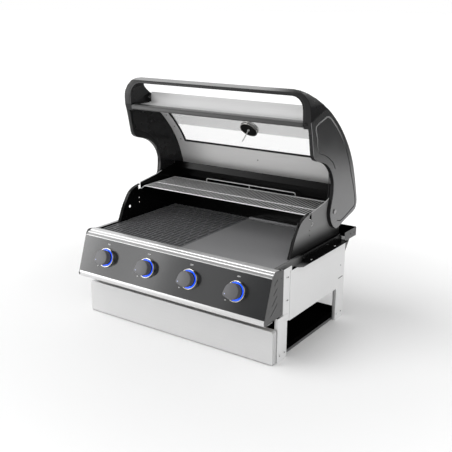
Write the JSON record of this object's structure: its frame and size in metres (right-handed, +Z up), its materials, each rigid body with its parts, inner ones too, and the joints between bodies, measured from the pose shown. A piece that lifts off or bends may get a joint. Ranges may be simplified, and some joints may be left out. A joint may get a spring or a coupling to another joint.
{
  "type": "built in gas grill",
  "caption": "Gas grill for a counter cut-out, with a windowed roasting hood drawn open, grill plate, hot plate, warming rack, burners with push-and-turn knobs, and a drip tray.",
  "frame": {"origin": "centre of the bounding box's bottom, on the plane that the four feet stand on", "axes": "+X to the right as the cook sees it from the front, +Y to the back, +Z up"},
  "size_m": [0.8802, 0.6968, 0.903],
  "materials": {
    "brushed_stainless": "brushed",
    "plated_sheet": "satin",
    "black_enamel": "gloss",
    "hood_paint": "satin",
    "cast_black": "satin black paint",
    "cast_iron": "matte enamel",
    "fascia_black": "gloss",
    "knob_grey": "satin",
    "chrome": "mirror",
    "led_blue": "lit from behind",
    "window_glass": "clear",
    "seal_black": "matte",
    "brass": "machined",
    "igniter_plastic": "matte"
  },
  "bodies": {
    "grill_body": {"back_panel": "plated_sheet", "burner_1": "brushed_stainless", "burner_2": "brushed_stainless", "burner_3": "brushed_stainless", "burner_4": "brushed_stainless", "control_bezel_1": "chrome", "control_bezel_2": "chrome", "control_bezel_3": "chrome", "control_bezel_4": "chrome", "counter_flange_left": "plated_sheet", "counter_flange_right": "plated_sheet", "fascia_bottom_trim": "brushed_stainless", "fascia_end_cap_left": "fascia_black", "fascia_end_cap_right": "fascia_black", "fascia_panel": "fascia_black", "fascia_top_trim": "brushed_stainless", "firebox_front_wall": "brushed_stainless", "firebox_rear_wall": "brushed_stainless", "firebox_side_left": "brushed_stainless", "firebox_side_right": "brushed_stainless", "front_leg_left": "plated_sheet", "front_leg_right": "plated_sheet", "front_post_left": "plated_sheet", "front_post_right": "plated_sheet", "gas_manifold": "brass", "grill_plate": "cast_iron", "hinge_pin_left": "plated_sheet", "hinge_pin_right": "plated_sheet", "hot_plate": "cast_iron", "igniter": "igniter_plastic", "led_ring_1": "led_blue", "led_ring_2": "led_blue", "led_ring_3": "led_blue", "led_ring_4": "led_blue", "rear_channel": "black_enamel", "side_panel_left": "plated_sheet", "side_panel_right": "plated_sheet", "tray_runner_left": "plated_sheet", "tray_runner_right": "plated_sheet", "warming_rack": "chrome"},
    "roasting_hood": {"hood_cap_left": "cast_black", "hood_cap_right": "cast_black", "hood_front_rail": "brushed_stainless", "hood_handle": "cast_black", "hood_header_panel": "brushed_stainless", "hood_inner_frame": "brushed_stainless", "hood_skin": "hood_paint", "hood_thermometer": "chrome", "window_glass": "window_glass", "window_seal": "seal_black"},
    "sliding_tray": {"drip_tray": "black_enamel", "drip_tray_front": "brushed_stainless"},
    "valve_1": {"valve_stem_1": "plated_sheet"},
    "valve_2": {"valve_stem_2": "plated_sheet"},
    "valve_3": {"valve_stem_3": "plated_sheet"},
    "valve_4": {"valve_stem_4": "plated_sheet"},
    "control_1": {"knob_1": "knob_grey"},
    "control_2": {"knob_2": "knob_grey"},
    "control_3": {"knob_3": "knob_grey"},
    "control_4": {"knob_4": "knob_grey"}
  },
  "joints": [
    {"name": "hood_hinge", "type": "hinge", "parent": "grill_body", "child": "roasting_hood", "pos_m": [0, 0.15902, 0.444], "axis": [1, 0, 0], "range_deg": [0, 74]},
    {"name": "drip_tray_slide", "type": "slide", "parent": "grill_body", "child": "sliding_tray", "axis": [0, -1, 0], "range_m": [0, 0.38]},
    {"name": "press_1", "type": "slide", "parent": "grill_body", "child": "valve_1", "axis": [0, 0.9464, -0.3231], "range_m": [0, 0.004], "stiffness_N_per_m": 450, "springref_m": -0.004},
    {"name": "press_2", "type": "slide", "parent": "grill_body", "child": "valve_2", "axis": [0, 0.9464, -0.3231], "range_m": [0, 0.004], "stiffness_N_per_m": 450, "springref_m": -0.004},
    {"name": "press_3", "type": "slide", "parent": "grill_body", "child": "valve_3", "axis": [0, 0.9464, -0.3231], "range_m": [0, 0.004], "stiffness_N_per_m": 450, "springref_m": -0.004},
    {"name": "press_4", "type": "slide", "parent": "grill_body", "child": "valve_4", "axis": [0, 0.9464, -0.3231], "range_m": [0, 0.004], "stiffness_N_per_m": 450, "springref_m": -0.004},
    {"name": "turn_1", "type": "hinge", "parent": "valve_1", "child": "control_1", "pos_m": [-0.295, -0.30635, 0.25481], "axis": [0, -0.9464, 0.3231], "range_deg": [-118, 92]},
    {"name": "turn_2", "type": "hinge", "parent": "valve_2", "child": "control_2", "pos_m": [-0.097, -0.30635, 0.25481], "axis": [0, -0.9464, 0.3231], "range_deg": [-118, 92]},
    {"name": "turn_3", "type": "hinge", "parent": "valve_3", "child": "control_3", "pos_m": [0.097, -0.30635, 0.25481], "axis": [0, -0.9464, 0.3231], "range_deg": [-118, 92]},
    {"name": "turn_4", "type": "hinge", "parent": "valve_4", "child": "control_4", "pos_m": [0.295, -0.30635, 0.25481], "axis": [0, -0.9464, 0.3231], "range_deg": [-118, 92]}
  ]
}
